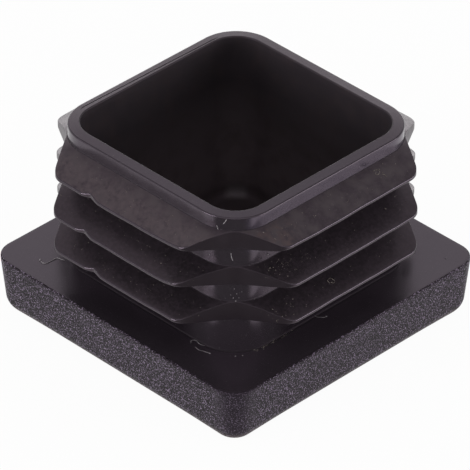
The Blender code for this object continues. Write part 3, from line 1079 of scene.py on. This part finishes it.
def lint_and_grit():
    """The threads one after another, each a closed grid with its own two poles."""
    pale, brown = written_down()
    brown += sprinkled()
    vertices, faces, zones, start = [], [], [], 0
    for zone, threads in enumerate((pale, brown)):
        for points in threads:
            more, quads, ends = pole_grid(points)
            faces += (quads + start).tolist() + (ends + start).tolist()
            zones += [zone] * (len(quads) + len(ends))
            vertices.append(more)
            start += len(more)
    lint = smooth_piece("lint_and_grit", np.concatenate(vertices), faces, np.array(zones))
    for skin in (lint_skin("pale_lint", (0.22, 0.20, 0.215), (0.36, 0.33, 0.35)),
                 lint_skin("brown_grit", (0.11, 0.090, 0.078), (0.25, 0.215, 0.195))):
        lint.data.materials.append(skin)
    print(len(pale), "pale and", len(brown), "brown threads,", len(faces), "faces")
    return lint


lint = lint_and_grit()
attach(lint, "root")

# %% [markdown]
# ## The studio
#
# A black, shiny thing shows mostly its surroundings. White surroundings on all sides give it
# the even grey sheen. For the camera and for reflections they are plain white, and the light
# that they shed is held lower, so that with the lamps a colour renders about as it is written.
# An even white room would make every face the same grey, though. Two soft grey patches high
# behind the cap are seen by reflections only. The right one darkens the upper faces of the
# blades on side 0 and the left one those on side 3, so that the edges stand out from them.

# %% Surroundings
SHED_LIGHT = 0.58
GREY_PATCHES = (((0.144, 0.579, 0.801), 45.0, 15.0, 0.45),     # direction, spread, core, level
                ((-0.58, -0.20, 0.79), 38.0, 14.0, 0.55))


def grey_patch(tree, direction, centre, spread_deg, core_deg, level):
    """1 far from the patch's centre, its level near it, by the cosine between directions."""
    toward = tree.nodes.new("ShaderNodeVectorMath")
    toward.operation = "DOT_PRODUCT"
    toward.inputs[1].default_value = centre
    tree.links.new(direction, toward.inputs[0])
    return tree.ramp(toward.outputs["Value"], math.cos(math.radians(spread_deg)),
                     math.cos(math.radians(core_deg)), 1.0, level, "SMOOTHSTEP")


def white_surroundings():
    """World that is white to camera, glossy and transmission rays, and dimmer as a light."""
    world = bpy.data.worlds.new("white_surroundings")
    tree = Tree(world)
    path = tree.nodes.new("ShaderNodeLightPath").outputs
    mirrored = tree.math("MAXIMUM", path["Is Glossy Ray"], path["Is Transmission Ray"])
    seen = tree.math("MAXIMUM", path["Is Camera Ray"], mirrored)
    direction = tree.place_on("Generated")
    patches = tree.times(*(grey_patch(tree, direction, *patch) for patch in GREY_PATCHES))
    room = tree.nodes.new("ShaderNodeMix")
    room.inputs["A"].default_value = 1.0
    tree.links.new(patches, room.inputs["B"])
    tree.links.new(path["Is Glossy Ray"], room.inputs["Factor"])
    background = tree.nodes["Background"]
    background.inputs["Color"].default_value = (1, 1, 1, 1)
    strength = tree.times(tree.ramp(seen, 0, 1, SHED_LIGHT, 1.0), room.outputs["Result"])
    tree.links.new(strength, background.inputs["Strength"])
    bpy.context.scene.world = world
    print("surroundings shed", SHED_LIGHT, "and look white")


white_surroundings()

# %% [markdown]
# ### The floor
#
# The floor is a sheet of white card. Most of what is seen of it is its own white, and the
# rest is the light that falls on it, so it clears to white away from the cap and still
# keeps the soft shadow under it. To reflections the card has a darker wedge that opens
# forward from under the front corner, as where a white table ends. It darkens the core's
# front corner between two bright patches, and that is what makes the corner look round.

# %% Floor
FLOOR_HALF = 0.6
FLOOR_SHADE = 0.04              # share of the floor's look that comes from the light on it
WEDGE_APEX = 12.5 * MM          # forward of the cap's middle
WEDGE_LEFT = (-1.60, -1.25)     # its soft sides, as sideways distance over forward distance
WEDGE_RIGHT = (0.95, 0.68)
WEDGE_START = (20 * MM, 25 * MM)
WEDGE_LEVEL = 0.1


def card_glow(tree, glossy):
    """Strength of the card's own white: 1, but WEDGE_LEVEL to reflections in the wedge."""
    turned = tree.facing_front(tree.place_on("Object"))
    forward, sideways = tree.axis(turned, "X"), tree.axis(turned, "Y")
    slope = tree.math("DIVIDE", sideways, tree.math("SUBTRACT", forward, WEDGE_APEX))
    limits = ((slope, WEDGE_LEFT), (slope, WEDGE_RIGHT), (forward, WEDGE_START))
    steps = [tree.ramp(value, *ends, shape="SMOOTHSTEP") for value, ends in limits]
    return tree.ramp(tree.times(*steps, glossy), 0, 1, 1.0, WEDGE_LEVEL)


def white_card():
    """White card: a mix of its own glow, for camera and reflections, and plain diffuse."""
    material = bpy.data.materials.new("white_card")
    tree = Tree(material)
    shader = tree.nodes["Principled BSDF"]
    shader.inputs["Base Color"].default_value = (0.95, 0.95, 0.95, 1)
    shader.inputs["Roughness"].default_value = 0.9
    shader.inputs["Specular IOR Level"].default_value = 0.0
    path = tree.nodes.new("ShaderNodeLightPath").outputs
    seen = tree.math("MAXIMUM", path["Is Camera Ray"], path["Is Glossy Ray"])
    glow = tree.nodes.new("ShaderNodeEmission")
    tree.links.new(card_glow(tree, path["Is Glossy Ray"]), glow.inputs["Strength"])
    mix = tree.nodes.new("ShaderNodeMixShader")
    tree.links.new(tree.ramp(seen, 0, 1, 0.0, 1 - FLOOR_SHADE), mix.inputs["Fac"])
    tree.links.new(shader.outputs["BSDF"], mix.inputs[1])
    tree.links.new(glow.outputs["Emission"], mix.inputs[2])
    tree.links.new(mix.outputs["Shader"], tree.nodes["Material Output"].inputs["Surface"])
    return material


def make_floor():
    """A square sheet at the height that the cap stands on."""
    corners = np.array([(-1, -1, 0), (1, -1, 0), (1, 1, 0), (-1, 1, 0)]) * FLOOR_HALF
    mesh = bpy.data.meshes.new("floor")
    mesh.from_pydata(corners.tolist(), [], [(0, 1, 2, 3)])
    mesh.materials.append(white_card())
    return place("floor", mesh)


floor = make_floor()
print("floor", 2 * FLOOR_HALF, "m wide")

# %% [markdown]
# ### The lamps
#
# Area lamps with a real size draw soft-edged highlights along the rounded edges: one to the
# right of the camera, one to its left, and a long low one behind the cap, which outlines the
# far ends of the blades. Each is aimed at the middle of the cap, and its power is worked out
# from how bright its face should look: a lamp of w by h metres that looks L bright gives
# pi * L * w * h watts.

# %% Lamps
CAP_MIDDLE = Vector((0, 0, RIM_Z / 2))
LAMP_DISTANCE = 0.6
LAMPS = (("right_lamp", (0.84, 0.54, 0.14), 0.46, 0.22, 5.0),     # direction, width, height
         ("left_lamp", (-0.26, -0.95, 0.16), 0.32, 0.20, 8.0),    # and brightness
         ("back_lamp", (-0.70, 0.70, 0.10), 0.60, 0.12, 3.0))


def soft_lamp(name, direction, width, height, brightness):
    """Rectangle that faces the cap's middle."""
    lamp = bpy.data.lights.new(name, "AREA")
    lamp.shape = "RECTANGLE"
    lamp.size, lamp.size_y = width, height
    lamp.energy = math.pi * brightness * width * height
    thing = bpy.data.objects.new(name, lamp)
    bpy.context.scene.collection.objects.link(thing)
    toward = Vector(direction).normalized()
    thing.location = CAP_MIDDLE + toward * LAMP_DISTANCE
    thing.rotation_euler = toward.to_track_quat("Z", "Y").to_euler()
    print(name, round(lamp.energy, 2), "W")


for lamp in LAMPS:
    soft_lamp(*lamp)

# %% [markdown]
# ## The camera
#
# A long lens from about half a metre, looking down at 35 degrees on the corner that is
# nearest. Distance, lens and angles come from fitting the cap's straight edges in the picture.

# %% Camera
AIM = Vector((0, 0, 7.63 * MM))
AZIMUTH_DEG = 45.08
ELEVATION_DEG = 35.0
ROLL_DEG = 0.26
DISTANCE = 0.48718
LENS = 432.4
SHIFT = (-0.0011, 0.0007)        # the lens's axis isn't quite in the middle of the picture


def make_camera():
    """Camera on the line from AIM toward the viewer, turned a little about that line."""
    azimuth, elevation = math.radians(AZIMUTH_DEG), math.radians(ELEVATION_DEG)
    back = Vector((math.sin(azimuth) * math.cos(elevation),
                   -math.cos(azimuth) * math.cos(elevation), math.sin(elevation)))
    lens = bpy.data.cameras.new("camera")
    lens.lens = LENS
    lens.sensor_width = 36
    lens.shift_x, lens.shift_y = SHIFT
    lens.clip_start = 0.01
    lens.clip_end = 10
    camera = bpy.data.objects.new("camera", lens)
    bpy.context.scene.collection.objects.link(camera)
    camera.location = AIM + back * DISTANCE
    turn = back.to_track_quat("Z", "Y") @ Quaternion((0, 0, 1), math.radians(ROLL_DEG))
    camera.rotation_euler = turn.to_euler()
    bpy.context.scene.camera = camera
    print("camera", DISTANCE, "m away, lens", LENS, "mm")


make_camera()
bpy.context.scene.view_settings.view_transform = "Standard"
